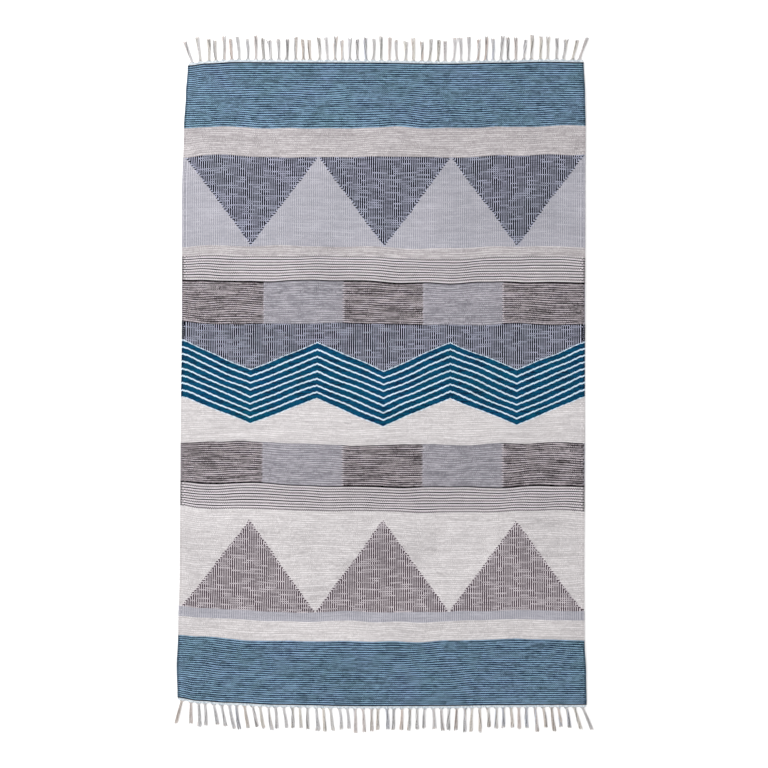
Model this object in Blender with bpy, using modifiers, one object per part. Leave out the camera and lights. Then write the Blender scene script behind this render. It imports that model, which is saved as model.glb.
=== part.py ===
"""A flat-woven kilim lying flat, with the fringe of its own warp ends at both ends.

The cloth is one piece, a few centimetres out of square as hand weaving leaves it. At each end
a narrow heading of plain warp yarn carries a row of tassels, which lie level on the floor.
X runs across the kilim, Y along it, and the floor is at z = 0. Lengths are in metres.
"""

import math
import random
from collections import namedtuple

import bmesh
import bpy

MM = 0.001

CLOTH_WIDTH = 1.500
CLOTH_LENGTH = 2.390
CLOTH_THICKNESS = 5.0 * MM
CLOTH_EDGE_ROUNDING = 1.5 * MM
CLOTH_EDGE_STEPS = 2
CLOTH_CELLS_ACROSS = 28
CLOTH_CELLS_ALONG = 32

HEADING_GAP = 0.4 * MM
HEADING_WIDTH = 9.0 * MM
HEADING_THICKNESS = 4.0 * MM

TASSEL_LENGTH = 82.0 * MM
TASSEL_LENGTH_SPREAD = 9.0 * MM
TASSEL_ROOT_WIDTH = 17.0 * MM
TASSEL_SHIFT = 3.5 * MM
TASSEL_LEAN_SPREAD = 5.0 * MM
TASSEL_BOW_SPREAD = 2.0 * MM
TASSEL_TIP_SPACING = 18.5 * MM
FAR_TASSELS = 50
FAR_SEED = 11
NEAR_TASSELS = 52
NEAR_SEED = 23

# How far each selvedge lies outside half the width, from the near end (0) to the far end (1).
Selvedge = namedtuple("Selvedge", "share left right")
SELVEDGES = [
    Selvedge(0.00, 15 * MM, 8 * MM),
    Selvedge(0.05, 18 * MM, 6 * MM),
    Selvedge(0.10, 13 * MM, 0 * MM),
    Selvedge(0.20, 7 * MM, -1 * MM),
    Selvedge(0.40, 4 * MM, 1 * MM),
    Selvedge(0.60, -1 * MM, 2 * MM),
    Selvedge(0.80, -2 * MM, 3 * MM),
    Selvedge(0.90, -9 * MM, 4 * MM),
    Selvedge(0.95, -16 * MM, 2 * MM),
    Selvedge(1.00, -23 * MM, -3 * MM),
]

# How far each end lies outside half the length, from the left selvedge (0) to the right (1).
End = namedtuple("End", "share near far")
ENDS = [
    End(0.00, -28 * MM, -11 * MM),
    End(0.05, -16 * MM, -3 * MM),
    End(0.12, -9 * MM, 2 * MM),
    End(0.25, -1 * MM, 1 * MM),
    End(0.45, 4 * MM, 0 * MM),
    End(0.65, 3 * MM, -4 * MM),
    End(0.80, 0 * MM, 0 * MM),
    End(0.90, -1 * MM, 3 * MM),
    End(1.00, -1 * MM, 1 * MM),
]

# How far a tassel's tip lies to the right of its root, by its place along the heading.
Lean = namedtuple("Lean", "share near far")
LEANS = [
    Lean(0.00, -30 * MM, -27 * MM),
    Lean(0.04, 6 * MM, -6 * MM),
    Lean(0.12, 15 * MM, -4 * MM),
    Lean(0.30, 6 * MM, 0 * MM),
    Lean(0.50, 0 * MM, 1 * MM),
    Lean(0.80, 1 * MM, 3 * MM),
    Lean(0.93, 8 * MM, 6 * MM),
    Lean(1.00, 34 * MM, 30 * MM),
]

# A tassel's width and height from where it leaves the heading (0) to its cut tip (1).
Section = namedtuple("Section", "share width height")
TASSEL_SECTIONS = [
    Section(0.08, 10.5 * MM, 5.0 * MM),
    Section(0.20, 8.5 * MM, 6.0 * MM),
    Section(0.45, 9.0 * MM, 6.0 * MM),
    Section(0.70, 9.5 * MM, 5.5 * MM),
    Section(0.88, 11.0 * MM, 5.0 * MM),
    Section(1.00, 12.5 * MM, 4.0 * MM),
]

WARP_COTTON = (0.66, 0.62, 0.57, 1.0)
WARP_COTTON_ROUGHNESS = 0.92
CLOTH_YARN = (0.42, 0.45, 0.50, 1.0)
CLOTH_YARN_ROUGHNESS = 0.95


def smooth(rows, column, share):
    """A table's column at a share, eased from row to row."""
    for low, high in zip(rows, rows[1:]):
        if share <= high.share:
            t = max(0.0, (share - low.share) / (high.share - low.share))
            t = t * t * (3 - 2 * t)
            start, end = getattr(low, column), getattr(high, column)
            return start + (end - start) * t
    return getattr(rows[-1], column)


def cloth_point(across, along):
    """Where a place of the cloth lies: across runs from left to right, along from near to far."""
    left = -CLOTH_WIDTH / 2 - smooth(SELVEDGES, "left", along)
    right = CLOTH_WIDTH / 2 + smooth(SELVEDGES, "right", along)
    near = -CLOTH_LENGTH / 2 - smooth(ENDS, "near", across)
    far = CLOTH_LENGTH / 2 + smooth(ENDS, "far", across)
    return left + (right - left) * across, near + (far - near) * along


def end_point(end, across):
    """A place on the cloth's end edge, on the straight run between two of its cells' corners."""
    along = 1.0 if end == "far" else 0.0
    cell = min(int(across * CLOTH_CELLS_ACROSS), CLOTH_CELLS_ACROSS - 1)
    x0, y0 = cloth_point(cell / CLOTH_CELLS_ACROSS, along)
    x1, y1 = cloth_point((cell + 1) / CLOTH_CELLS_ACROSS, along)
    t = across * CLOTH_CELLS_ACROSS - cell
    return x0 + (x1 - x0) * t, y0 + (y1 - y0) * t


def material(name, colour, roughness):
    made = bpy.data.materials.new(name)
    made.use_nodes = True
    shader = made.node_tree.nodes["Principled BSDF"]
    shader.inputs["Base Color"].default_value = colour
    shader.inputs["Roughness"].default_value = roughness
    shader.inputs["Metallic"].default_value = 0.0
    return made


def add_object(name, bm, finish, collection, parent):
    mesh = bpy.data.meshes.new(name)
    bm.to_mesh(mesh)
    bm.free()
    obj = bpy.data.objects.new(name, mesh)
    obj.data.materials.append(finish)
    obj.parent = parent
    collection.objects.link(obj)
    return obj


def make_cloth(finish, collection, parent):
    """The woven cloth: one sheet with its own outline, given its thickness and soft edges."""
    bm = bmesh.new()
    bmesh.ops.create_grid(
        bm, x_segments=CLOTH_CELLS_ACROSS, y_segments=CLOTH_CELLS_ALONG, size=0.5
    )
    for vert in bm.verts:
        vert.co.x, vert.co.y = cloth_point(vert.co.x + 0.5, vert.co.y + 0.5)
    cloth = add_object("cloth", bm, finish, collection, parent)
    thickness = cloth.modifiers.new("Thickness", "SOLIDIFY")
    thickness.thickness = CLOTH_THICKNESS
    thickness.offset = 1.0
    rounding = cloth.modifiers.new("Soft edges", "BEVEL")
    rounding.width = CLOTH_EDGE_ROUNDING
    rounding.segments = CLOTH_EDGE_STEPS
    rounding.limit_method = "ANGLE"
    return cloth


def tassel_roots(count, rng):
    """The tassels' places along the heading, as shares of its length, a little uneven."""
    pitch = CLOTH_WIDTH / count
    shifts = [rng.uniform(-TASSEL_SHIFT, TASSEL_SHIFT) for _ in range(count)]
    shifts[0] = shifts[-1] = 0.0
    return [((i + 0.5) * pitch + shifts[i]) / CLOTH_WIDTH for i in range(count)]


def tassel_tips(roots, end, root_x, rng):
    """The x of each tassel's tip: its root's, its lean, and room for its neighbour."""
    tips = []
    for share, x in zip(roots, root_x):
        scatter = rng.uniform(-TASSEL_LEAN_SPREAD, TASSEL_LEAN_SPREAD)
        tips.append(x + smooth(LEANS, end, share) + scatter)
    middle = len(tips) // 2
    for i in range(middle + 1, len(tips)):
        tips[i] = max(tips[i], tips[i - 1] + TASSEL_TIP_SPACING)
    for i in range(middle - 1, -1, -1):
        tips[i] = min(tips[i], tips[i + 1] - TASSEL_TIP_SPACING)
    return tips


def heading_strip(roots, end):
    """The heading as a row of flat cells: one under each tassel and one in each gap."""
    half_root = TASSEL_ROOT_WIDTH / 2 / CLOTH_WIDTH
    cuts = [0.0]
    for share in roots:
        cuts += [share - half_root, share + half_root]
    cuts.append(1.0)
    out = 1 if end == "far" else -1
    bm = bmesh.new()
    bmesh.ops.create_grid(bm, x_segments=len(cuts) - 1, y_segments=1, size=0.5)
    for vert in bm.verts:
        cell = round((vert.co.x + 0.5) * (len(cuts) - 1))
        outer = vert.co.y * out > 0
        x, y = end_point(end, cuts[cell])
        depth = HEADING_GAP + (HEADING_WIDTH if outer else 0.0)
        vert.co.x, vert.co.y = x, y + out * depth
    bmesh.ops.solidify(bm, geom=bm.faces[:], thickness=-HEADING_THICKNESS)
    bmesh.ops.recalc_face_normals(bm, faces=bm.faces[:])
    return bm


def grow_tassel(bm, face, tip_x, length, bow, out):
    """Draws one tassel out of its root's face, a section at a time, level on the floor."""
    root = face.calc_center_median()
    corners = [(vert.co.z < root.z, vert.co.x < root.x) for vert in face.verts]
    for section in TASSEL_SECTIONS:
        extruded = bmesh.ops.extrude_discrete_faces(bm, faces=[face])
        face = extruded["faces"][0]
        swing = (tip_x - root.x) * section.share + bow * math.sin(math.pi * section.share)
        for vert, (low, left) in zip(face.verts, corners):
            side = -0.5 if left else 0.5
            vert.co.x = root.x + swing + side * section.width
            vert.co.y = root.y + out * length * section.share
            vert.co.z = 0.0 if low else section.height


def make_fringe(name, end, count, seed, finish, collection, parent):
    """A heading with its row of tassels, drawn out of it so that each root is part of it."""
    rng = random.Random(seed)
    out = 1 if end == "far" else -1
    roots = tassel_roots(count, rng)
    bm = heading_strip(roots, end)
    outward = [face for face in bm.faces if face.normal.y * out > 0.9]
    outward.sort(key=lambda face: face.calc_center_median().x)
    root_faces = outward[1::2]
    root_x = [face.calc_center_median().x for face in root_faces]
    tips = tassel_tips(roots, end, root_x, rng)
    for face, tip_x in zip(root_faces, tips):
        length = TASSEL_LENGTH + rng.uniform(-TASSEL_LENGTH_SPREAD, TASSEL_LENGTH_SPREAD)
        bow = rng.uniform(-TASSEL_BOW_SPREAD, TASSEL_BOW_SPREAD)
        grow_tassel(bm, face, tip_x, length, bow, out)
    return add_object(name, bm, finish, collection, parent)


def centre_on_origin(parent, pieces):
    """Moves the kilim so that the middle of its outline, fringes included, is at x = y = 0."""
    xs = [vert.co.x for piece in pieces for vert in piece.data.vertices]
    ys = [vert.co.y for piece in pieces for vert in piece.data.vertices]
    parent.location.x = -(min(xs) + max(xs)) / 2
    parent.location.y = -(min(ys) + max(ys)) / 2


def main():
    for obj in list(bpy.data.objects):
        bpy.data.objects.remove(obj, do_unlink=True)
    collection = bpy.data.collections.new("kilim")
    bpy.context.scene.collection.children.link(collection)
    parent = bpy.data.objects.new("kilim_origin", None)
    collection.objects.link(parent)
    woven = material("woven yarn", CLOTH_YARN, CLOTH_YARN_ROUGHNESS)
    cotton = material("warp cotton", WARP_COTTON, WARP_COTTON_ROUGHNESS)
    cloth = make_cloth(woven, collection, parent)
    far = make_fringe("far_fringe", "far", FAR_TASSELS, FAR_SEED, cotton, collection, parent)
    near = make_fringe("near_fringe", "near", NEAR_TASSELS, NEAR_SEED, cotton, collection, parent)
    centre_on_origin(parent, [cloth, far, near])


main()
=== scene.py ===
import math
import random
from collections import namedtuple

import bmesh
import bpy
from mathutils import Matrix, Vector


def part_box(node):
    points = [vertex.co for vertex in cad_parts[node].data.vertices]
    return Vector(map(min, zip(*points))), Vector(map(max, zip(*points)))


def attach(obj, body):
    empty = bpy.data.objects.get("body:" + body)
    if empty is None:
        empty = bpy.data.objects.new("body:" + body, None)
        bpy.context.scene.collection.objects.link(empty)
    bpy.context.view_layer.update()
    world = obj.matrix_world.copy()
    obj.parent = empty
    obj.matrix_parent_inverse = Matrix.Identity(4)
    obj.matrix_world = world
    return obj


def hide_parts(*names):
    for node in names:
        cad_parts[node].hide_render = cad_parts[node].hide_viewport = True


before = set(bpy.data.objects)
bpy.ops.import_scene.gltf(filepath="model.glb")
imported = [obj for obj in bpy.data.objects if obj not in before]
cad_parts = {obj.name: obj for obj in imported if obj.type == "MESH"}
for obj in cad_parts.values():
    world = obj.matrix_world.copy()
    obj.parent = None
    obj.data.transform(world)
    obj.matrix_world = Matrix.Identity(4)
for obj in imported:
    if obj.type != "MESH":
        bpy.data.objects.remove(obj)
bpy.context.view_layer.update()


# The cloth's shape. It is one piece of weft-faced plain weave, soft wool and cotton picks beaten
# down over a cotton warp until the warp shows only as ribs. Hand weaving leaves it a few
# centimetres out of square, and its picks sag a little between one beat and the next.
MM = 0.001
CLOTH_WIDTH = 1500 * MM
CLOTH_LENGTH = 2390 * MM
CLOTH_THICKNESS = 5 * MM
WARP_PITCH = 4 * MM
PICK_PITCH = 2 * MM
WARP_ENDS = round(CLOTH_WIDTH / WARP_PITCH)
RIB_DEPTH = 0.4 * MM
SELVEDGE_REACH = 2.3 * MM
EDGE_ENDS = 3
EDGE_END_WIDTH = 6 * MM
CLOTH_ROWS = 64
SOLID_CELLS_ACROSS = 28
SOLID_CELLS_ALONG = 32
BAKE_SHARE_OF_TOP = 0.84

# How far each selvedge lies outside half the width, from the near end (0) to the far end (1).
Selvedge = namedtuple("Selvedge", "share left right")
SELVEDGES = [
    Selvedge(0.00, 15 * MM, 8 * MM),
    Selvedge(0.05, 18 * MM, 6 * MM),
    Selvedge(0.10, 13 * MM, 0 * MM),
    Selvedge(0.20, 7 * MM, -1 * MM),
    Selvedge(0.40, 4 * MM, 1 * MM),
    Selvedge(0.60, -1 * MM, 2 * MM),
    Selvedge(0.80, -2 * MM, 3 * MM),
    Selvedge(0.90, -9 * MM, 4 * MM),
    Selvedge(0.95, -16 * MM, 2 * MM),
    Selvedge(1.00, -23 * MM, -3 * MM),
]

# How far each end lies outside half the length, from the left selvedge (0) to the right (1).
End = namedtuple("End", "share near far")
ENDS = [
    End(0.00, -28 * MM, -11 * MM),
    End(0.05, -16 * MM, -3 * MM),
    End(0.12, -9 * MM, 2 * MM),
    End(0.25, -1 * MM, 1 * MM),
    End(0.45, 4 * MM, 0 * MM),
    End(0.65, 3 * MM, -4 * MM),
    End(0.80, 0 * MM, 0 * MM),
    End(0.90, -1 * MM, 3 * MM),
    End(1.00, -1 * MM, 1 * MM),
]

# Slow waves that the picks make, and the soft ripples in which the cloth lies: wavelengths
# across and along, height, and where in its turn each wave starts.
Wave = namedtuple("Wave", "across along height turn")
PICK_WAVES = [
    Wave(1300 * MM, 900 * MM, 2.6 * MM, 0.10),
    Wave(620 * MM, -1500 * MM, 1.7 * MM, 0.45),
    Wave(340 * MM, 520 * MM, 1.0 * MM, 0.80),
    Wave(-210 * MM, 380 * MM, 0.7 * MM, 0.30),
]
RIPPLES = [
    Wave(900 * MM, 640 * MM, 0.7 * MM, 0.20),
    Wave(-430 * MM, 760 * MM, 0.5 * MM, 0.60),
    Wave(380 * MM, 410 * MM, 0.35 * MM, 0.90),
]
SELVEDGE_PULL = 9 * MM
RIGHT_PULL_SHARE = 0.7
SELVEDGE_PULL_REACH = 70 * MM
SELVEDGE_PULL_WAVE = 830 * MM
END_CALM = 150 * MM


def eased(share):
    """A share from 0 to 1 that starts and ends slowly."""
    share = min(1.0, max(0.0, share))
    return share * share * (3 - 2 * share)


def smooth(rows, column, share):
    """A table's column at a share, eased from row to row."""
    for low, high in zip(rows, rows[1:]):
        if share <= high.share:
            t = eased((share - low.share) / (high.share - low.share))
            start, end = getattr(low, column), getattr(high, column)
            return start + (end - start) * t
    return getattr(rows[-1], column)


def outline_point(across, along):
    """A place of the cloth before it is centred: across runs left to right, along near to far."""
    left = -CLOTH_WIDTH / 2 - smooth(SELVEDGES, "left", along)
    right = CLOTH_WIDTH / 2 + smooth(SELVEDGES, "right", along)
    near = -CLOTH_LENGTH / 2 - smooth(ENDS, "near", across)
    far = CLOTH_LENGTH / 2 + smooth(ENDS, "far", across)
    return Vector((left + (right - left) * across, near + (far - near) * along, 0.0))


def centring():
    """How far the outline moves to lie on the cloth's solid."""
    corners = [
        outline_point(i / SOLID_CELLS_ACROSS, j / SOLID_CELLS_ALONG)
        for i in range(SOLID_CELLS_ACROSS + 1)
        for j in range(SOLID_CELLS_ALONG + 1)
    ]
    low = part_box("cloth")[0]
    return Vector((low.x - min(c.x for c in corners), low.y - min(c.y for c in corners), 0.0))


CENTRING = centring()


def cloth_point(across, along):
    """A place of the cloth as it lies, with room beside it for the selvedges' rolls."""
    across = 0.5 + (across - 0.5) * (1 - 2 * SELVEDGE_REACH / CLOTH_WIDTH)
    return outline_point(across, along) + CENTRING


def warp_place(u):
    """Where a warp end lies as a share of the width: the outer ends are thicker than the rest."""
    outer = EDGE_ENDS * WARP_PITCH
    outer_width = EDGE_ENDS * EDGE_END_WIDTH
    inner_scale = (CLOTH_WIDTH - 2 * outer_width) / (CLOTH_WIDTH - 2 * outer)
    if u < outer:
        x = u * EDGE_END_WIDTH / WARP_PITCH
    elif u > CLOTH_WIDTH - outer:
        x = CLOTH_WIDTH - (CLOTH_WIDTH - u) * EDGE_END_WIDTH / WARP_PITCH
    else:
        x = outer_width + (u - outer) * inner_scale
    return x / CLOTH_WIDTH


def waves(table, u, v):
    total = 0.0
    for wave in table:
        turns = u / wave.across + v / wave.along + wave.turn
        total += wave.height * math.sin(2 * math.pi * turns)
    return total


def calm(v):
    """0 at the cloth's ends, where the headings hold it straight, and 1 away from them."""
    return eased(min(v, CLOTH_LENGTH - v) / END_CALM)


def sag(u, v):
    """How far a pick lies from its straight line, waving across and pulled at the selvedges."""
    from_left = math.exp(-u / SELVEDGE_PULL_REACH)
    from_right = math.exp((u - CLOTH_WIDTH) / SELVEDGE_PULL_REACH)
    turn = 2 * math.pi * v / SELVEDGE_PULL_WAVE
    pull = from_left * math.sin(turn) + RIGHT_PULL_SHARE * from_right * math.cos(turn)
    return calm(v) * (waves(PICK_WAVES, u, v) - SELVEDGE_PULL * pull)


def ripple(u, v):
    highest = sum(wave.height for wave in RIPPLES)
    return calm(v) * (highest + waves(RIPPLES, u, v)) / 2


def unroll(bm, u_low, u_high, v_low, v_high):
    """Gives a fresh grid its weave map: metres across and along the cloth."""
    weave = bm.loops.layers.uv.new("weave")
    for face in bm.faces:
        for loop in face.loops:
            u = u_low + (loop.vert.co.x + 0.5) * (u_high - u_low)
            v = v_low + (loop.vert.co.y + 0.5) * (v_high - v_low)
            loop[weave].uv = (u, v)


def bake_layout(bm):
    """A second map in which the cloth's two faces lie side by side, the upper one larger."""
    weave = bm.loops.layers.uv["weave"]
    layout = bm.loops.layers.uv.new("OFBake")
    for face in bm.faces:
        for loop in face.loops:
            across = loop[weave].uv.x / CLOTH_WIDTH
            along = loop[weave].uv.y / CLOTH_LENGTH
            if face.normal.z > 0:
                loop[layout].uv = (across * BAKE_SHARE_OF_TOP, along)
            else:
                loop[layout].uv = (1 - across * (1 - BAKE_SHARE_OF_TOP), along)


def add_piece(name, bm):
    """Makes a bmesh a smooth-shaded object of the scene."""
    bmesh.ops.recalc_face_normals(bm, faces=bm.faces[:])
    mesh = bpy.data.meshes.new(name)
    bm.to_mesh(mesh)
    bm.free()
    mesh.shade_smooth()
    mesh.set_sharp_from_angle(angle=math.radians(60))
    piece = bpy.data.objects.new(name, mesh)
    bpy.context.scene.collection.objects.link(piece)
    return piece


def woven_cloth():
    """The cloth as a ribbed sheet, a rib for each warp end."""
    cells = 2 * WARP_ENDS
    bm = bmesh.new()
    bmesh.ops.create_grid(bm, x_segments=cells, y_segments=CLOTH_ROWS, size=0.5, calc_uvs=True)
    unroll(bm, 0, CLOTH_WIDTH, 0, CLOTH_LENGTH)
    for vert in bm.verts:
        across, along = vert.co.x + 0.5, vert.co.y + 0.5
        u, v = across * CLOTH_WIDTH, along * CLOTH_LENGTH
        crest = round(across * cells) % 2
        vert.co = cloth_point(warp_place(u), along)
        vert.co.y += sag(u, v)
        vert.co.z = ripple(u, v) + RIB_DEPTH * crest
    bmesh.ops.solidify(bm, geom=bm.faces[:], thickness=RIB_DEPTH - CLOTH_THICKNESS)
    bm.normal_update()
    bake_layout(bm)
    return add_piece("woven_cloth", bm)


cloth = woven_cloth()


# The cloth's colours. Each row of six picks is beaten in with one or two yarns: one slub yarn
# alone gives long soft streaks, two or more picks of each give a pinstripe, and one pick of each
# in turn gives narrow columns up the warp. The chart is a plain banded one: stripes, a row of
# triangles and a row of blocks towards each end, and a running zigzag in the middle.
PICKS_IN_A_ROW = 6
Yarns = namedtuple("Yarns", "first second cycle firsts mottle run knots")
YARNS = {
    "cream": Yarns("#DCD8D9", "#C0BBBC", 4, 2, 0.90, 90 * MM, 0.30),
    "grey cream": Yarns("#CCC7C9", "#A59FA1", 4, 2, 0.90, 80 * MM, 0.30),
    "white": Yarns("#CFE2F1", "#BED1E0", 1, 1, 1.00, 60 * MM, 0.20),
    "petrol": Yarns("#004A68", "#001C36", 1, 1, 1.00, 60 * MM, 0.70),
    "blue pinstripe": Yarns("#89ACC6", "#000A1A", 4, 2, 0.55, 40 * MM, 0.80),
    "charcoal pinstripe": Yarns("#D5CED2", "#000000", 5, 3, 0.05, 110 * MM, 1.00),
    "slate columns": Yarns("#D6DAF1", "#000009", 2, 1, 0.90, 58 * MM, 1.00),
    "lilac columns": Yarns("#C9C8D0", "#9A99A2", 2, 1, 0.85, 130 * MM, 0.30),
    "brown columns": Yarns("#FFF7FC", "#4B3F46", 2, 1, 0.90, 62 * MM, 1.00),
    "brown slub": Yarns("#BEB5BA", "#171114", 4, 2, 0.72, 85 * MM, 0.80),
    "pale blue slub": Yarns("#B5B2B9", "#7C7A82", 4, 2, 0.90, 60 * MM, 0.40),
}
Band = namedtuple("Band", "rows ground motif figure")
CHART = [
    Band(20, "blue pinstripe", "blue pinstripe", "plain"),
    Band(6, "cream", "cream", "plain"),
    Band(3, "lilac columns", "lilac columns", "plain"),
    Band(28, "cream", "brown columns", "triangles"),
    Band(3, "cream", "cream", "plain"),
    Band(8, "charcoal pinstripe", "charcoal pinstripe", "plain"),
    Band(13, "pale blue slub", "brown slub", "blocks"),
    Band(18, "cream", "petrol", "zigzag"),
    Band(19, "slate columns", "petrol", "zigzag"),
    Band(13, "pale blue slub", "brown slub", "blocks"),
    Band(8, "charcoal pinstripe", "charcoal pinstripe", "plain"),
    Band(3, "grey cream", "grey cream", "plain"),
    Band(28, "lilac columns", "slate columns", "triangles"),
    Band(3, "grey cream", "grey cream", "plain"),
    Band(6, "grey cream", "grey cream", "plain"),
    Band(20, "blue pinstripe", "blue pinstripe", "plain"),
]
CHART_PICKS = sum(band.rows for band in CHART) * PICKS_IN_A_ROW
TRIANGLE_ENDS = 125
TRIANGLES_START = sum(band.rows for band in CHART[:3]) * PICKS_IN_A_ROW
TRIANGLES_PICKS = CHART[3].rows * PICKS_IN_A_ROW
RIM_ENDS = 1.5
BLOCK_ENDS = 75
TOOTH_PICKS = 4
ZIGZAG_SLOPE = 0.41
ZIGZAG_HALF_HEIGHT = 104 * MM
ZIGZAG_LINE_PITCH = 26 * MM
ZIGZAG_LINE_SHARE = 0.23
RAMP_LAST = 255
WOVEN_PICKS = round(CLOTH_LENGTH / PICK_PITCH)
END_PICKS = 2
MOST_PICKS = 16
DARK_PICKS_FIRST = 2
LONGEST_RUN = 400 * MM
BLUR_WIDTH = 60 * MM
BLUR_LENGTH = 45 * MM
DYE_PATCH = 160 * MM
APART = 7.31
SECTION_WIDTH = 230 * MM
SECTION_LENGTH = 110 * MM
SECTION_STEP = 0.37
STITCH_DEPTH = 0.7 * MM
STITCH_STAGGER = 0.5
PICK_WOBBLE = 13 * MM
WOBBLE_SPREAD = (1 / (190 * MM), 1 / (120 * MM), 1)
SPECKLE = 0.5
FLECK_LENGTH = 22 * MM
FIBRE = 0.5 * MM
FIBRE_STRETCH = 3

# The levels of noise between which each kind of streak grows from nothing to its full strength.
FADE_LEVELS = (0.48, 0.68)
SWAP_LEVELS = (0.51, 0.58)
BLUR_LEVELS = (0.50, 0.70)
LONG_STREAK_LEVELS = (0.28, 0.72)
FLECK_LEVELS = (0.35, 0.65)

# Shares of the first yarn: in a faded line, where columns blur, and in the knots of an edge.
FADED_LEAST = 0.1
FADED_SPREAD = 0.4
BLUR_SHARE = 0.3
BLUR_STRENGTH = 0.3
LIGHT_PICKS_HELD = 0.6
# The power that shapes the painted groove shade on both sides of a light column.
GROOVE_SHADE_SHARPNESS = 2.5
RIM_SHARE = 0.6
CLIMBING_SHARE = 0.6

# The yarns' tone and hue, and how far each difference moves them.
TONE = 0.54
TONES = {
    "dark knot": -0.20, "dye patch": 0.12, "long streak": 0.09, "bead": 0.08, "fleck": 0.12,
    "stitch height": 0.16, "section": 0.07, "join": 0.20,
}
HUE = 0.480
DYE_PATCH_HUE = 0.03
FLECK_HUE = 0.016
SLUB_LEAST = 0.75
SLUB_SWELL = 0.35
FIBRE_RELIEF = 0.25
ROUGHNESS_LEAST = 0.78
ROUGHNESS_SPREAD = 0.2


def linear(colour):
    """An sRGB hex colour as linear red, green and blue, with an alpha of one."""
    parts = [int(colour[i:i + 2], 16) / 255 for i in (1, 3, 5)]
    return [p / 12.92 if p <= 0.04045 else ((p + 0.055) / 1.055) ** 2.4 for p in parts] + [1.0]


def add(tree, kind, inputs=(), **settings):
    """Adds a node with its settings, links or sets its inputs, and returns its first output."""
    made = tree.nodes.new("ShaderNode" + kind)
    for name, value in settings.items():
        setattr(made, name, value)
    pairs = inputs.items() if isinstance(inputs, dict) else enumerate(inputs)
    for name, value in pairs:
        if isinstance(value, bpy.types.NodeSocket):
            tree.links.new(value, made.inputs[name])
        elif value is not None:
            made.inputs[name].default_value = value
    return made.outputs[0]


Stitch = namedtuple("Stitch", "u v column pick across along picks")


def weave_places(tree):
    """Where a point lies in the weave: its warp column, its pick, and its place on that stitch.

    Picks pass over one warp end and under the next, so a column shows every second pick, and
    its neighbour shows the others, a little higher.
    """
    uv = add(tree, "UVMap", uv_map="weave")
    metres = add(tree, "SeparateXYZ", [uv]).node
    ends = add(tree, "Math", [metres.outputs["X"], WARP_PITCH], operation="DIVIDE")
    wobble_at = add(tree, "VectorMath", [uv, WOBBLE_SPREAD], operation="MULTIPLY")
    wobble = add(
        tree, "TexNoise", {"Vector": wobble_at, "Scale": 1.0, "Detail": 1.0}, noise_dimensions="2D"
    )
    to_far = add(tree, "Math", [CLOTH_LENGTH, metres.outputs["Y"]], operation="SUBTRACT")
    to_end = add(tree, "Math", [metres.outputs["Y"], to_far], operation="MINIMUM")
    free = add(tree, "MapRange", {"Value": to_end, "From Max": END_CALM, "To Max": PICK_WOBBLE})
    wobble = add(tree, "Math", [wobble, 0.5], operation="SUBTRACT")
    beaten = add(tree, "Math", [wobble, free, metres.outputs["Y"]], operation="MULTIPLY_ADD")
    picks = add(tree, "Math", [beaten, PICK_PITCH], operation="DIVIDE")
    column = add(tree, "Math", [ends], operation="FLOOR")
    odd = add(tree, "Math", [column, 1.0], operation="PINGPONG")
    shifted = add(tree, "Math", [odd, -STITCH_STAGGER, picks], operation="MULTIPLY_ADD")
    stitches = add(tree, "Math", [shifted, 0.5], operation="MULTIPLY")
    stitch = add(tree, "Math", [stitches], operation="FLOOR")
    pick = add(tree, "Math", [stitch, 2.0, odd], operation="MULTIPLY_ADD")
    across = add(tree, "Math", [ends], operation="FRACT")
    along = add(tree, "Math", [stitches], operation="FRACT")
    u, v = metres.outputs["X"], metres.outputs["Y"]
    return Stitch(u, v, column, pick, across, along, picks)


def stitch_height(tree, across, along):
    """A stitch's rounded back: 0 where it dips under the warp or its neighbour, 1 in the middle."""
    domes = []
    for place in (across, along):
        turn = add(tree, "Math", [place, math.pi], operation="MULTIPLY")
        domes.append(add(tree, "Math", [turn], operation="SINE"))
    return add(tree, "Math", domes, operation="MULTIPLY")


def mixed(tree, factor, first, second):
    """A colour between two. The node also has sockets for numbers, so the colour ones are picked."""
    mix = tree.nodes.new("ShaderNodeMix")
    mix.data_type = "RGBA"
    tree.links.new(factor, mix.inputs["Factor"])
    sockets = [s for s in mix.inputs if s.type == "RGBA"]
    for socket, value in zip(sockets, (first, second)):
        if isinstance(value, bpy.types.NodeSocket):
            tree.links.new(value, socket)
        else:
            socket.default_value = value
    return [s for s in mix.outputs if s.type == "RGBA"][0]


def chart_ramp(tree, row, colours):
    """One colour for each band of the chart, by the row of picks."""
    ramp = add(tree, "ValToRGB", [row]).node
    ramp.color_ramp.interpolation = "CONSTANT"
    ramp.color_ramp.elements.remove(ramp.color_ramp.elements[1])
    start = 0
    for band, colour in zip(CHART, colours):
        if start == 0:
            element = ramp.color_ramp.elements[0]
        else:
            element = ramp.color_ramp.elements.new((start - 0.5) / RAMP_LAST)
        element.color = colour
        start += band.rows
    return ramp.outputs["Color"]


def triangles(tree, column, pick):
    """1 in a row of triangles that stand on the chart's outer bands, and 1 along their sides."""
    peak = add(tree, "Math", [column, TRIANGLE_ENDS / 2], operation="PINGPONG")
    from_far = add(tree, "Math", [CHART_PICKS, pick], operation="SUBTRACT")
    from_end = add(tree, "Math", [pick, from_far], operation="MINIMUM")
    risen = add(tree, "Math", [from_end, TRIANGLES_START], operation="SUBTRACT")
    steepness = TRIANGLE_ENDS / 2 / TRIANGLES_PICKS
    edge = add(tree, "Math", [risen, steepness], operation="MULTIPLY")
    inside = add(tree, "Math", [peak, edge], operation="GREATER_THAN")
    edge = add(tree, "Math", [edge, RIM_ENDS], operation="ADD")
    rim = add(tree, "Math", [peak, edge], operation="LESS_THAN")
    return inside, add(tree, "Math", [inside, rim], operation="MULTIPLY")


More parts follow.
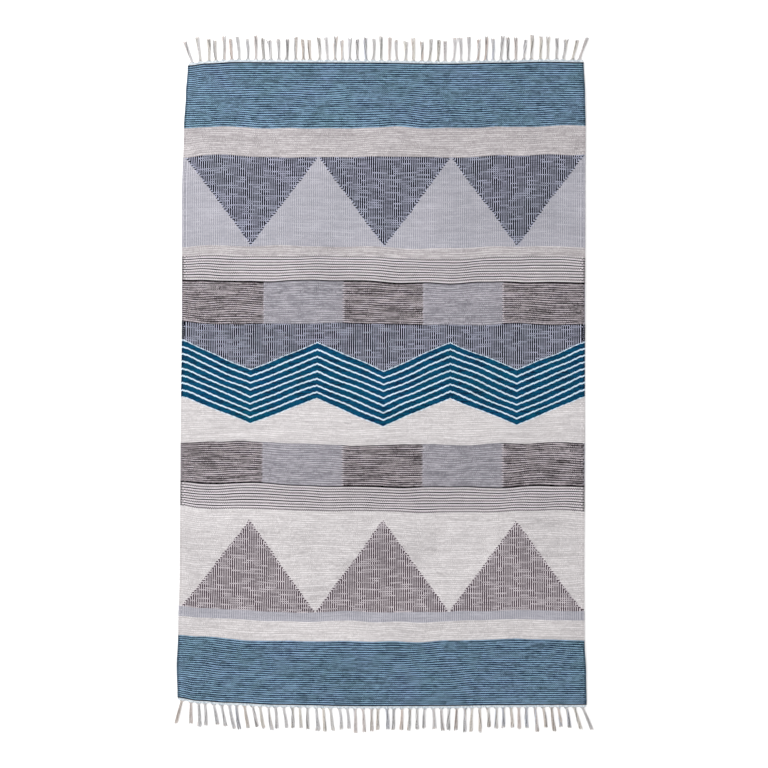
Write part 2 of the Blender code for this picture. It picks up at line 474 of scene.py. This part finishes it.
def blocks(tree, column, pick):
    """1 in every second block, and 1 on the join, where the yarns turn back on shared warp ends."""
    turn = add(tree, "Math", [pick, TOOTH_PICKS], operation="PINGPONG")
    tooth = add(tree, "Math", [turn, TOOTH_PICKS / 2], operation="GREATER_THAN")
    toothed = add(tree, "Math", [column, tooth], operation="ADD")
    place = add(tree, "Math", [toothed, BLOCK_ENDS], operation="DIVIDE")
    block = add(tree, "Math", [place], operation="FLOOR")
    odd_block = add(tree, "Math", [block, 1.0], operation="PINGPONG")
    from_join = add(tree, "Math", [toothed, BLOCK_ENDS], operation="MODULO")
    join = add(tree, "Math", [from_join, 0.5], operation="LESS_THAN")
    return add(tree, "Math", [1.0, odd_block], operation="SUBTRACT"), join


def zigzag(tree, column, picks):
    """1 inside a broad zigzag along the middle, and 1 on the fine lines that run along it.

    Its picks are beaten down hard, so that each of them shows at its edges.
    """
    pick = add(tree, "Math", [picks], operation="FLOOR")
    middle = add(tree, "Math", [pick, CHART_PICKS / 2 - 0.5], operation="SUBTRACT")
    height = add(tree, "Math", [middle, PICK_PITCH], operation="MULTIPLY")
    peak = add(tree, "Math", [column, TRIANGLE_ENDS / 2], operation="PINGPONG")
    lift = add(tree, "Math", [peak, TRIANGLE_ENDS / 4], operation="SUBTRACT")
    place = add(tree, "Math", [lift, ZIGZAG_SLOPE * WARP_PITCH, height], operation="MULTIPLY_ADD")
    away = add(tree, "Math", [place], operation="ABSOLUTE")
    inside = add(tree, "Math", [away, ZIGZAG_HALF_HEIGHT], operation="LESS_THAN")
    turn = add(tree, "Math", [place, ZIGZAG_LINE_PITCH / 2], operation="PINGPONG")
    line_edge = ZIGZAG_LINE_PITCH * ZIGZAG_LINE_SHARE / 2
    line = add(tree, "Math", [turn, line_edge], operation="LESS_THAN")
    return inside, add(tree, "Math", [inside, line], operation="MULTIPLY")


def streaks(tree, u, line, length, apart, levels):
    """Streaks of tone along the picks: 0 below the first level of noise and 1 above the second.

    Lines that are further apart than one unit of the noise have streaks of their own.
    """
    run = add(tree, "Math", [u, length], operation="DIVIDE")
    place = add(tree, "Math", [line, apart], operation="MULTIPLY")
    at = add(tree, "CombineXYZ", [run, place])
    noise = add(
        tree, "TexNoise", {"Vector": at, "Scale": 1.0, "Detail": 1.0, "Roughness": 0.5},
        noise_dimensions="2D",
    )
    return add(tree, "MapRange", {"Value": noise, "From Min": levels[0], "From Max": levels[1]})


def yarn_material(name):
    """A matte, faintly fuzzy yarn surface, whose colour and relief are still to be added."""
    made = bpy.data.materials.new(name)
    made.use_nodes = True
    shader = made.node_tree.nodes["Principled BSDF"]
    shader.inputs["Metallic"].default_value = 0.0
    shader.inputs["IOR"].default_value = 1.5
    shader.inputs["Specular IOR Level"].default_value = 0.06
    shader.inputs["Sheen Weight"].default_value = 0.02
    shader.inputs["Sheen Roughness"].default_value = 0.6
    return made, made.node_tree, shader


# Wool and cotton weft: dyed in the yarn, softly spun with thick and thin places, matte and a
# little hairy. Seen close, each stitch is a small rounded bead that dips under the next warp end.
def weft_material():
    made, tree, shader = yarn_material("wool and cotton weft")
    u, v, column, pick, across, along, picks = weave_places(tree)
    row = add(tree, "Math", [pick, PICKS_IN_A_ROW], operation="DIVIDE")
    row = add(tree, "Math", [row], operation="FLOOR")
    row = add(tree, "Math", [row, 0.5], operation="ADD")
    row = add(tree, "Math", [row, RAMP_LAST], operation="DIVIDE")

    kinds = ("triangles", "blocks", "zigzag")
    which = [[float(band.figure == kind) for kind in kinds] + [1.0] for band in CHART]
    which = add(tree, "SeparateColor", [chart_ramp(tree, row, which)]).node.outputs
    inside, line = zigzag(tree, column, picks)
    triangle, rim = triangles(tree, column, pick)
    figure = add(tree, "Math", [which["Red"], triangle], operation="MULTIPLY")
    rim = add(tree, "Math", [which["Red"], rim], operation="MULTIPLY")
    block, join = blocks(tree, column, pick)
    join = add(tree, "Math", [which["Green"], join], operation="MULTIPLY")
    figure = add(tree, "Math", [which["Green"], block, figure], operation="MULTIPLY_ADD")
    figure = add(tree, "Math", [which["Blue"], inside, figure], operation="MULTIPLY_ADD")
    line = add(tree, "Math", [which["Blue"], line], operation="MULTIPLY")

    def charted(read):
        """What a yarn's function gives, chosen by band, figure and line."""
        ground = chart_ramp(tree, row, [read(YARNS[band.ground]) for band in CHART])
        motif = chart_ramp(tree, row, [read(YARNS[band.motif]) for band in CHART])
        return mixed(tree, line, mixed(tree, figure, ground, motif), read(YARNS["white"]))

    first = charted(lambda yarns: linear(yarns.first))
    second = charted(lambda yarns: linear(yarns.second))
    counts = charted(lambda y: [y.cycle / MOST_PICKS, y.firsts / MOST_PICKS, y.mottle, 1.0])
    counts = add(tree, "SeparateColor", [counts]).node.outputs
    habits = charted(lambda yarns: [yarns.run / LONGEST_RUN, yarns.knots, 0.0, 1.0])
    habits = add(tree, "SeparateColor", [habits]).node.outputs
    run = add(tree, "Math", [habits["Red"], LONGEST_RUN], operation="MULTIPLY")

    # The cloth is woven in sections, each a few hands wide, and its tone changes a little from one
    # to the next.
    section_row = add(tree, "Math", [v, SECTION_LENGTH], operation="DIVIDE")
    section_row = add(tree, "Math", [section_row], operation="FLOOR")
    section_at = add(tree, "Math", [section_row, SECTION_STEP], operation="MULTIPLY")
    section_at = add(tree, "Math", [u, 1 / SECTION_WIDTH, section_at], operation="MULTIPLY_ADD")
    section_at = add(tree, "Math", [section_at], operation="FLOOR")
    section_at = add(tree, "CombineXYZ", [section_at, section_row])
    section = add(tree, "TexWhiteNoise", [section_at], noise_dimensions="2D")

    # Which of its two yarns a pick is of, by its turn in their cycle.
    cycle = add(tree, "Math", [counts["Red"], MOST_PICKS], operation="MULTIPLY")
    in_turn = add(tree, "Math", [cycle, 2.0, 0.5], operation="COMPARE")
    firsts = add(tree, "Math", [counts["Green"], MOST_PICKS, -0.5], operation="MULTIPLY_ADD")
    turn = add(tree, "Math", [pick, DARK_PICKS_FIRST], operation="ADD")
    turn = add(tree, "Math", [turn, cycle], operation="MODULO")
    is_first = add(tree, "Math", [turn, firsts], operation="LESS_THAN")

    # A slub yarn's thick and thin places make each line fade and come back along its length.
    # Where two yarns take turns pick by pick, some picks swap here and there, mostly to the light
    # yarn and never two beads in a row. That draws short fine lines across the columns, and
    # elsewhere the columns blur into one tone.
    stitch = add(tree, "Math", [pick, 0.5], operation="MULTIPLY")
    stitch = add(tree, "Math", [stitch], operation="FLOOR")
    every_other = add(tree, "Math", [stitch, 1.0], operation="PINGPONG")
    fade = streaks(tree, u, stitch, run, APART, FADE_LEVELS)
    swapped = streaks(tree, u, pick, run, APART, SWAP_LEVELS)
    held = add(tree, "Math", [in_turn, is_first], operation="MULTIPLY")
    free = add(tree, "Math", [held, -LIGHT_PICKS_HELD, 1.0], operation="MULTIPLY_ADD")
    swapped = add(tree, "Math", [swapped, free], operation="MULTIPLY")
    swapped = add(tree, "Math", [swapped, every_other], operation="MULTIPLY")
    blur_at = add(tree, "Math", [v, BLUR_LENGTH], operation="DIVIDE")
    blur = streaks(tree, u, blur_at, BLUR_WIDTH, 1.0, BLUR_LEVELS)
    by_stitch = add(tree, "Math", [1.0, in_turn], operation="SUBTRACT")
    streak = add(tree, "Math", [by_stitch, fade], operation="MULTIPLY")
    streak = add(tree, "Math", [streak, swapped], operation="MAXIMUM")
    mottle = add(tree, "Math", [streak, counts["Blue"]], operation="MULTIPLY")
    long_streak = streaks(tree, u, stitch, LONGEST_RUN, APART, LONG_STREAK_LEVELS)
    faded = add(tree, "Math", [long_streak, FADED_SPREAD, FADED_LEAST], operation="MULTIPLY_ADD")
    other = add(tree, "Math", [1.0, is_first], operation="SUBTRACT")
    towards = add(tree, "Mix", {"Factor": in_turn, "A": faded, "B": other})
    share = add(tree, "Mix", {"Factor": mottle, "A": is_first, "B": towards})
    blurred = add(tree, "Math", [in_turn, blur], operation="MULTIPLY")
    sharp = add(tree, "Math", [blurred, -BLUR_STRENGTH, 1.0], operation="MULTIPLY_ADD")
    share = add(tree, "Math", [share, BLUR_SHARE], operation="SUBTRACT")
    share = add(tree, "Math", [share, sharp, BLUR_SHARE], operation="MULTIPLY_ADD")

    # Painted shade in the grooves on both sides of a light column, laid on as more of the dark yarn,
    # and single beads of a plain or striped ground are lighter or darker.
    bulge = add(tree, "Math", [across, math.pi], operation="MULTIPLY")
    bulge = add(tree, "Math", [bulge], operation="SINE")
    beside = add(tree, "Math", [1.0, bulge], operation="SUBTRACT")
    beside = add(tree, "Math", [beside, in_turn], operation="MULTIPLY")
    groove_unshaded = add(tree, "Math", [1.0, beside], operation="SUBTRACT")
    groove_unshaded = add(tree, "Math", [groove_unshaded, GROOVE_SHADE_SHARPNESS], operation="POWER")
    share = add(tree, "Math", [share, groove_unshaded], operation="MULTIPLY")
    bead_at = add(tree, "CombineXYZ", [column, pick])
    bead = add(tree, "TexWhiteNoise", [bead_at], noise_dimensions="2D")
    speck = add(tree, "Math", [bead, 0.5], operation="SUBTRACT")
    speck = add(tree, "Math", [speck, counts["Blue"]], operation="MULTIPLY")
    speck = add(tree, "Math", [speck, by_stitch], operation="MULTIPLY")
    share = add(tree, "Math", [speck, SPECKLE, share], operation="MULTIPLY_ADD", use_clamp=True)

    # The very first and last picks are of the dark yarn.
    to_far = add(tree, "Math", [WOVEN_PICKS - 1, pick], operation="SUBTRACT")
    to_end = add(tree, "Math", [pick, to_far], operation="MINIMUM")
    inner = add(tree, "Math", [to_end, END_PICKS - 0.5], operation="GREATER_THAN")
    share = add(tree, "Math", [share, inner], operation="MULTIPLY")

    # Where two blocks turn back on the same warp end, their join is a faint dotted line. The sides
    # of the triangles have dark knots, and so have the selvedges, where the resting yarn climbs.
    dotted = add(tree, "Math", [join, every_other], operation="MULTIPLY")
    share = add(tree, "Math", [share, dotted], operation="MAXIMUM")
    unlined = add(tree, "Math", [cycle, 2.5], operation="LESS_THAN")
    resting = add(tree, "Mix", {"Factor": unlined, "A": is_first, "B": every_other})
    knot = add(tree, "Math", [resting, RIM_SHARE], operation="MULTIPLY")
    share = add(tree, "Mix", {"Factor": rim, "A": share, "B": knot})
    to_right = add(tree, "Math", [WARP_ENDS - 1, column], operation="SUBTRACT")
    to_side = add(tree, "Math", [column, to_right], operation="MINIMUM")
    outer = add(tree, "Math", [to_side, 0.5], operation="LESS_THAN")
    climbing = add(tree, "Math", [resting, -CLIMBING_SHARE, 1.0], operation="MULTIPLY_ADD")
    dark_knot = add(tree, "Math", [outer, climbing], operation="MULTIPLY")
    dark_knot = add(tree, "Math", [dark_knot, habits["Green"]], operation="MULTIPLY")
    light = add(tree, "Math", [1.0, dark_knot], operation="SUBTRACT")
    share = add(tree, "Math", [share, light], operation="MULTIPLY")
    colour = mixed(tree, share, second, first)

    # Small differences of tone: from dye lot to dye lot, from pick to pick and from bead to bead,
    # and the shade in the dip between two beads.
    patch_at = add(tree, "CombineXYZ", [u, v])
    patch = add(
        tree, "TexNoise", {"Vector": patch_at, "Scale": 1 / DYE_PATCH, "Detail": 1.0},
        noise_dimensions="2D",
    )
    height = stitch_height(tree, across, along)
    fleck = streaks(tree, u, pick, FLECK_LENGTH, APART, FLECK_LEVELS)
    differences = {
        "dark knot": dark_knot, "dye patch": patch, "long streak": long_streak, "bead": bead,
        "fleck": fleck, "stitch height": height, "section": section, "join": dotted,
    }
    tone = TONE
    for name, amount in TONES.items():
        tone = add(tree, "Math", [differences[name], amount, tone], operation="MULTIPLY_ADD")
    hue = add(tree, "Math", [patch, DYE_PATCH_HUE, HUE], operation="MULTIPLY_ADD")
    hue = add(tree, "Math", [fleck, FLECK_HUE, hue], operation="MULTIPLY_ADD")
    dyed = add(tree, "HueSaturation", {"Hue": hue, "Value": tone, "Color": colour})
    tree.links.new(dyed, shader.inputs["Base Color"])

    # The relief: rounded beads, thicker where the yarn is slubby, with fine fibres along them.
    fibre_at = add(tree, "VectorMath", [patch_at, (1, FIBRE_STRETCH, 1)], operation="MULTIPLY")
    fibre = add(
        tree, "TexNoise", {"Vector": fibre_at, "Scale": 1 / FIBRE / FIBRE_STRETCH, "Detail": 2.0},
        noise_dimensions="2D",
    )
    thick = add(tree, "Math", [streak, SLUB_SWELL, SLUB_LEAST], operation="MULTIPLY_ADD")
    bead_height = add(tree, "Math", [height, thick], operation="MULTIPLY")
    relief = add(tree, "Math", [fibre, FIBRE_RELIEF, bead_height], operation="MULTIPLY_ADD")
    bump = add(tree, "Bump", {"Strength": 1.0, "Distance": STITCH_DEPTH, "Height": relief})
    tree.links.new(bump, shader.inputs["Normal"])
    rough = add(tree, "Math", [fibre, ROUGHNESS_SPREAD, ROUGHNESS_LEAST], operation="MULTIPLY_ADD")
    tree.links.new(rough, shader.inputs["Roughness"])
    return made


weft = weft_material()
cloth.data.materials.append(weft)
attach(cloth, "root")
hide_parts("cloth")


# The selvedges. Each pick turns round the last bundle of warp and goes back, so the cloth's long
# sides are rolls of small loops, one for two picks, in the colours of those picks.
SELVEDGE_SIDES = 8
LOOP_LENGTH = 2 * PICK_PITCH
LOOP_STEPS = 4
LOOP_DIP = 0.22
LOOP_SPREAD = 0.07
ROLL_FROM = 0.1
ROLL_TO = 0.9


def selvedge_roll(name, side, rng):
    """The loops along one long side, -1 on the left or 1 on the right, as one beaded roll."""
    loops = round(CLOTH_LENGTH / LOOP_LENGTH)
    rings = loops * LOOP_STEPS
    loop_sizes = [1 + rng.uniform(-LOOP_SPREAD, LOOP_SPREAD) for _ in range(loops + 2)]
    edge = 0.0 if side < 0 else 1.0
    u_edge = edge * CLOTH_WIDTH
    bm = bmesh.new()
    bmesh.ops.create_grid(
        bm, x_segments=SELVEDGE_SIDES, y_segments=rings, size=0.5, calc_uvs=True
    )
    u_low, u_high = u_edge + side * ROLL_FROM * WARP_PITCH, u_edge + side * ROLL_TO * WARP_PITCH
    unroll(bm, u_low, u_high, 0, CLOTH_LENGTH)
    for vert in bm.verts:
        turn = 2 * math.pi * (vert.co.x + 0.5)
        v = (vert.co.y + 0.5) * CLOTH_LENGTH
        place = v / LOOP_LENGTH + 0.5
        swell = math.sqrt(abs(math.sin(math.pi * place)))
        size = (1 - LOOP_DIP + LOOP_DIP * swell) * loop_sizes[int(place)]
        vert.co = cloth_point(edge, v / CLOTH_LENGTH)
        vert.co.x += side * math.cos(turn) * SELVEDGE_REACH * size
        vert.co.y += sag(u_edge, v)
        vert.co.z = ripple(u_edge, v) + (1 + math.sin(turn) * size) * CLOTH_THICKNESS / 2
    bmesh.ops.remove_doubles(bm, verts=bm.verts[:], dist=0.01 * MM)
    bmesh.ops.holes_fill(bm, edges=bm.edges[:])
    roll = add_piece(name, bm)
    roll.data.materials.append(weft)
    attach(roll, "root")
    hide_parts("cloth")
    return roll


rng = random.Random(5)
selvedges = [
    selvedge_roll("left_selvedge", -1, rng),
    selvedge_roll("right_selvedge", 1, rng),
]


# The headings and fringes. A few picks of bare warp cotton bind each end. Beyond them the warp's
# own ends run on, gathered by sevens and eights into loosely twisted tassels with cut tips, which
# lie on the floor.
HEADING_GAP = 0.4 * MM
HEADING_WIDTH = 9 * MM
HEADING_THICKNESS = 4 * MM
HEADING_RIB_DEPTH = 0.9 * MM
HEADING_ROWS = 6
HEADING_SCALLOP = 1.5 * MM
TASSEL_LENGTH = 82 * MM
TASSEL_LENGTH_SPREAD = 9 * MM
TASSEL_SHIFT = 3.5 * MM
TASSEL_LEAN_SPREAD = 5 * MM
TASSEL_BOW_SPREAD = 2 * MM
TASSEL_TIP_SPACING = 18.5 * MM
TASSEL_YARNS = 8
ROOT_PITCH = 2.2 * MM
YARN_RADIUS = 1.15 * MM
YARN_POINTS = 15
YARN_POINTS_CROWDING = 1.4
YARN_BURIED = 4 * MM
YARN_LENGTHS = (0.95, 1.03)
YARN_THICKNESSES = (0.9, 1.08)
GATHER_LENGTH = 8 * MM
TWIST_TURNS = (0.2, 0.8)
SLACK = 0.8 * MM
SLACK_WAVE = 4
TIP_START = 0.72
TIP_WIDENING = 0.1
TIP_FLATTENING = 0.5
TIP_SPLAY = 6 * MM
COTTON_PLY_PITCH = 7 * MM
COTTON_PLY_DEPTH = 0.5 * MM

Fringe = namedtuple("Fringe", "node end tassels seed")
FRINGES = [Fringe("far_fringe", "far", 50, 11), Fringe("near_fringe", "near", 52, 23)]

# How far a tassel's tip lies to the right of its root, by its place along the heading.
Lean = namedtuple("Lean", "share near far")
LEANS = [
    Lean(0.00, -30 * MM, -27 * MM),
    Lean(0.04, 6 * MM, -6 * MM),
    Lean(0.12, 15 * MM, -4 * MM),
    Lean(0.30, 6 * MM, 0 * MM),
    Lean(0.50, 0 * MM, 1 * MM),
    Lean(0.80, 1 * MM, 3 * MM),
    Lean(0.93, 8 * MM, 6 * MM),
    Lean(1.00, 34 * MM, 30 * MM),
]

# A tassel's width and height from where it leaves the heading (0) to its cut tip (1).
Section = namedtuple("Section", "share width height")
TASSEL_SECTIONS = [
    Section(0.08, 9.5 * MM, 5.0 * MM),
    Section(0.20, 9.0 * MM, 6.0 * MM),
    Section(0.45, 10.5 * MM, 6.0 * MM),
    Section(0.70, 12.0 * MM, 5.5 * MM),
    Section(0.88, 13.0 * MM, 5.0 * MM),
    Section(1.00, 13.0 * MM, 4.0 * MM),
]
Tassel = namedtuple("Tassel", "root tip_x length bow")


def tassel_plan(fringe):
    """Each tassel's root, its tip, its length and its bow, as on the solid that it replaces."""
    rng = random.Random(fringe.seed)
    count = fringe.tassels
    along = 1.0 if fringe.end == "far" else 0.0
    out = 1 if fringe.end == "far" else -1
    shifts = [rng.uniform(-TASSEL_SHIFT, TASSEL_SHIFT) for _ in range(count)]
    shifts[0] = shifts[-1] = 0.0
    shares = [(i + 0.5) / count + shifts[i] / CLOTH_WIDTH for i in range(count)]
    roots = [cloth_point(share, along) for share in shares]
    tips = []
    for share, root in zip(shares, roots):
        scatter = rng.uniform(-TASSEL_LEAN_SPREAD, TASSEL_LEAN_SPREAD)
        tips.append(root.x + smooth(LEANS, fringe.end, share) + scatter)
    middle = count // 2
    for i in range(middle + 1, count):
        tips[i] = max(tips[i], tips[i - 1] + TASSEL_TIP_SPACING)
    for i in range(middle - 1, -1, -1):
        tips[i] = min(tips[i], tips[i + 1] - TASSEL_TIP_SPACING)
    tassels = []
    for root, tip_x in zip(roots, tips):
        root.y += out * (HEADING_GAP + HEADING_WIDTH)
        length = TASSEL_LENGTH + rng.uniform(-TASSEL_LENGTH_SPREAD, TASSEL_LENGTH_SPREAD)
        bow = rng.uniform(-TASSEL_BOW_SPREAD, TASSEL_BOW_SPREAD)
        tassels.append(Tassel(root, tip_x, length, bow))
    return tassels


def draw_tassel(curve, tassel, out, rng):
    """Adds a tassel's yarns to a curve: side by side at the heading, then a twisted bunch."""
    turns = rng.choice((-1, 1)) * rng.uniform(*TWIST_TURNS)
    start = rng.uniform(0, 2 * math.pi)
    splay = rng.uniform(0.0, 1.0) ** 3
    for k in range(TASSEL_YARNS):
        place = (k - (TASSEL_YARNS - 1) / 2) * ROOT_PITCH
        length = tassel.length * rng.uniform(*YARN_LENGTHS)
        slack = rng.uniform(-SLACK, SLACK)
        loose = rng.uniform(0, 2 * math.pi)
        own_splay = rng.uniform(-1, 1)
        spline = curve.splines.new("POLY")
        spline.points.add(YARN_POINTS - 1)
        for i, point in enumerate(spline.points):
            share = (i / (YARN_POINTS - 1)) ** YARN_POINTS_CROWDING
            distance = length * share if i else -YARN_BURIED
            reach = distance / tassel.length
            gather = eased(distance / GATHER_LENGTH)
            tip = eased((share - TIP_START) / (1 - TIP_START))
            half_width = smooth(TASSEL_SECTIONS, "width", share) / 2 - YARN_RADIUS
            half_height = smooth(TASSEL_SECTIONS, "height", share) / 2 - YARN_RADIUS
            angle = start + 2 * math.pi * (k / TASSEL_YARNS + turns * share)
            bunched = half_width * math.cos(angle) * (1 + TIP_WIDENING * tip)
            bunched += slack * math.sin(loose + SLACK_WAVE * share)
            bunched += tip * splay * own_splay * TIP_SPLAY
            swing = (tassel.tip_x - tassel.root.x) * reach
            bow = tassel.bow * math.sin(math.pi * min(1.0, reach))
            x = tassel.root.x + swing + bow + place + (bunched - place) * gather
            y = tassel.root.y + out * distance
            flattened = 1 - TIP_FLATTENING * tip
            lying = YARN_RADIUS + half_height * (1 + math.sin(angle)) * flattened
            z = HEADING_THICKNESS / 2 + (lying - HEADING_THICKNESS / 2) * gather
            point.co = (x, y, z, 1.0)
            point.radius = YARN_RADIUS * rng.uniform(*YARN_THICKNESSES)


def tassel_row(fringe, tassels, rng):
    """All the loose warp ends of one end of the kilim, as one mesh."""
    out = 1 if fringe.end == "far" else -1
    curve = bpy.data.curves.new("warp_ends", "CURVE")
    curve.dimensions = "3D"
    curve.bevel_depth = 1.0
    curve.bevel_resolution = 1
    curve.use_fill_caps = True
    for tassel in tassels:
        draw_tassel(curve, tassel, out, rng)
    drawn = bpy.data.objects.new("warp_ends", curve)
    bpy.context.scene.collection.objects.link(drawn)
    depsgraph = bpy.context.evaluated_depsgraph_get()
    mesh = bpy.data.meshes.new_from_object(drawn.evaluated_get(depsgraph), depsgraph=depsgraph)
    bpy.data.objects.remove(drawn)
    lots = [rng.random() for _ in tassels]
    points_in_tassel = len(mesh.vertices) // len(tassels)
    lot = mesh.attributes.new("lot", "FLOAT", "POINT")
    for i, point in enumerate(lot.data):
        point.value = lots[i // points_in_tassel]
    bm = bmesh.new()
    bm.from_mesh(mesh)
    bpy.data.meshes.remove(mesh)
    bmesh.ops.remove_doubles(bm, verts=bm.verts[:], dist=0.001 * MM)
    return add_piece(fringe.end + "_tassels", bm)


def heading_strip(fringe, tassels):
    """The bound end beside the cloth, a rib for each warp end, drawn out a little by the tassels."""
    far = fringe.end == "far"
    out = 1 if far else -1
    cells = 2 * WARP_ENDS
    v_edge = CLOTH_LENGTH if far else 0.0
    bm = bmesh.new()
    bmesh.ops.create_grid(bm, x_segments=cells, y_segments=HEADING_ROWS, size=0.5, calc_uvs=True)
    v_low, v_high = sorted((v_edge, v_edge + out * (HEADING_GAP + HEADING_WIDTH)))
    unroll(bm, 0, CLOTH_WIDTH, v_low, v_high)
    reach = CLOTH_WIDTH / fringe.tassels / 2
    for vert in bm.verts:
        across = vert.co.x + 0.5
        share = (vert.co.y + 0.5) if far else (0.5 - vert.co.y)
        crest = round(across * cells) % 2
        vert.co = cloth_point(across, 1.0 if far else 0.0)
        nearest = min(abs(vert.co.x - tassel.root.x) for tassel in tassels)
        drawn = math.cos(math.pi * min(1.0, nearest / reach))
        depth = HEADING_GAP + HEADING_WIDTH + HEADING_SCALLOP * (drawn - 0.5)
        vert.co.y += out * depth * share
        vert.co.z = HEADING_RIB_DEPTH * crest
    thickness = HEADING_RIB_DEPTH - HEADING_THICKNESS
    bmesh.ops.solidify(bm, geom=bm.faces[:], thickness=thickness)
    return add_piece(fringe.end + "_heading", bm)


# Warp cotton: undyed, plied and matte. The lots that the warp was wound from differ a little, bluish
# beside pinkish beside cream, and a yarn or two in each tassel is darker, as painted shade.
TASSEL_TINTS = ["#C2C4CD", "#DAD6CF", "#D0C3BD", "#D7D6D8", "#CBC8C7"]
PAINTED_SHADE_YARNS = 0.2
PAINTED_SHADE_YARN_TONE = -0.35
YARN_TONE_LEAST = 0.75
YARN_TONE_SPREAD = 0.25
PLY_GROOVE_SHADE = 0.15
HEADING_SHADE = "#8C9AA6"
HEADING_LIGHT = "#DCE2E6"
HEADING_TONE = 0.75
HEADING_PAINTED_DIP_SHADE = 0.5
COTTON_ROUGHNESS = 0.9


def cotton(tree, shader, colour, height, depth):
    tree.links.new(colour, shader.inputs["Base Color"])
    bump = add(tree, "Bump", {"Strength": 1.0, "Distance": depth, "Height": height})
    tree.links.new(bump, shader.inputs["Normal"])
    shader.inputs["Roughness"].default_value = COTTON_ROUGHNESS


def plied_cotton():
    """The turns of a two-ply yarn, by its map: once round it, and its length along it."""
    made, tree, shader = yarn_material("plied warp cotton")
    uv = add(tree, "UVMap", uv_map="UVMap")
    place = add(tree, "SeparateXYZ", [uv]).node.outputs
    along = add(tree, "Math", [place["Y"], TASSEL_LENGTH / COTTON_PLY_PITCH], operation="MULTIPLY")
    turn = add(tree, "Math", [place["X"], along], operation="ADD")
    turn = add(tree, "Math", [turn, 2 * math.pi], operation="MULTIPLY")
    ridge = add(tree, "Math", [turn], operation="SINE")
    ridge = add(tree, "Math", [ridge], operation="ABSOLUTE")

    lot = add(tree, "Attribute", attribute_name="lot").node.outputs["Fac"]
    ramp = add(tree, "ValToRGB", [lot]).node.color_ramp
    ramp.elements.remove(ramp.elements[1])
    for i, tint in enumerate(TASSEL_TINTS):
        element = ramp.elements.new(i / (len(TASSEL_TINTS) - 1)) if i else ramp.elements[0]
        element.color = linear(tint)
    tint = tree.nodes[-1].outputs["Color"]

    own = add(tree, "NewGeometry").node.outputs["Random Per Island"]
    # Painted shade: a few yarns of each tassel are darker, standing in for the shade on a tassel's
    # side and between its yarns.
    painted_shade_yarn = add(tree, "Math", [own, PAINTED_SHADE_YARNS], operation="LESS_THAN")
    tone = add(tree, "Math", [own, YARN_TONE_SPREAD, YARN_TONE_LEAST], operation="MULTIPLY_ADD")
    # Painted shade in the grooves between the plies: each ply's crest is lighter than the groove
    # beside it.
    tone = add(tree, "Math", [ridge, PLY_GROOVE_SHADE, tone], operation="MULTIPLY_ADD")
    tone = add(tree, "Math", [painted_shade_yarn, PAINTED_SHADE_YARN_TONE, tone], operation="MULTIPLY_ADD")
    toned = add(tree, "HueSaturation", {"Value": tone, "Color": tint})
    cotton(tree, shader, toned, ridge, COTTON_PLY_DEPTH)
    return made


def bound_cotton():
    """The heading's stitches, a little larger than the cloth's, with a tinge of its blue fluff."""
    made, tree, shader = yarn_material("warp cotton heading")
    stitch = weave_places(tree)
    height = stitch_height(tree, stitch.across, stitch.along)
    bead_at = add(tree, "CombineXYZ", [stitch.column, stitch.pick])
    bead = add(tree, "TexWhiteNoise", [bead_at], noise_dimensions="2D")
    # Painted shade in the dips between stitches: the colour runs from the shade colour in a dip to
    # the light one on a stitch's crown, with a random tone per bead.
    tone = add(tree, "Math", [height, HEADING_PAINTED_DIP_SHADE, bead], operation="MULTIPLY_ADD")
    tone = add(tree, "Math", [tone, HEADING_TONE], operation="MULTIPLY")
    colour = mixed(tree, tone, linear(HEADING_SHADE), linear(HEADING_LIGHT))
    cotton(tree, shader, colour, height, STITCH_DEPTH)
    return made


warp_cotton = plied_cotton()
heading_cotton = bound_cotton()
rng = random.Random(31)
for fringe in FRINGES:
    tassels = tassel_plan(fringe)
    tassel_yarns = tassel_row(fringe, tassels, rng)
    tassel_yarns.data.materials.append(warp_cotton)
    heading = heading_strip(fringe, tassels)
    heading.data.materials.append(heading_cotton)
    for piece in (tassel_yarns, heading):
        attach(piece, "root")
        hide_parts(fringe.node)


# The floor: a plain pale studio sweep, just under the kilim.
FLOOR_SIZE = 30.0
FLOOR_DROP = 0.3 * MM
bm = bmesh.new()
bmesh.ops.create_grid(bm, x_segments=1, y_segments=1, size=FLOOR_SIZE / 2)
bmesh.ops.translate(bm, verts=bm.verts[:], vec=(0, 0, -FLOOR_DROP))
floor = add_piece("floor", bm)
paint = bpy.data.materials.new("matt white studio paint")
paint.use_nodes = True
paint.node_tree.nodes["Principled BSDF"].inputs["Base Color"].default_value = linear("#FAFAFA")
paint.node_tree.nodes["Principled BSDF"].inputs["Roughness"].default_value = 0.9
floor.data.materials.append(paint)


# The studio: a camera straight above the kilim and soft even light, a little of it from one side.
CAMERA_HEIGHT = 6.75
camera = bpy.data.cameras.new("camera")
camera.lens = 85
camera.clip_end = 60
viewer = bpy.data.objects.new("camera", camera)
viewer.location = (0.0, -1.1 * MM, CAMERA_HEIGHT)
bpy.context.scene.collection.objects.link(viewer)
bpy.context.scene.camera = viewer
bpy.context.scene.view_settings.view_transform = "Standard"

Lamp = namedtuple("Lamp", "name place size watts")
LAMPS = [Lamp("key_light", (-3.4, 1.6, 2.8), 1.6, 130)]
for lamp in LAMPS:
    light = bpy.data.lights.new(lamp.name, "AREA")
    light.size = lamp.size
    light.energy = lamp.watts
    hung = bpy.data.objects.new(lamp.name, light)
    hung.location = lamp.place
    hung.rotation_euler = Vector(lamp.place).to_track_quat("Z", "Y").to_euler()
    bpy.context.scene.collection.objects.link(hung)

world = bpy.data.worlds.new("studio")
world.use_nodes = True
world.node_tree.nodes["Background"].inputs["Color"].default_value = (1, 1, 1, 1)
world.node_tree.nodes["Background"].inputs["Strength"].default_value = 1.05
bpy.context.scene.world = world
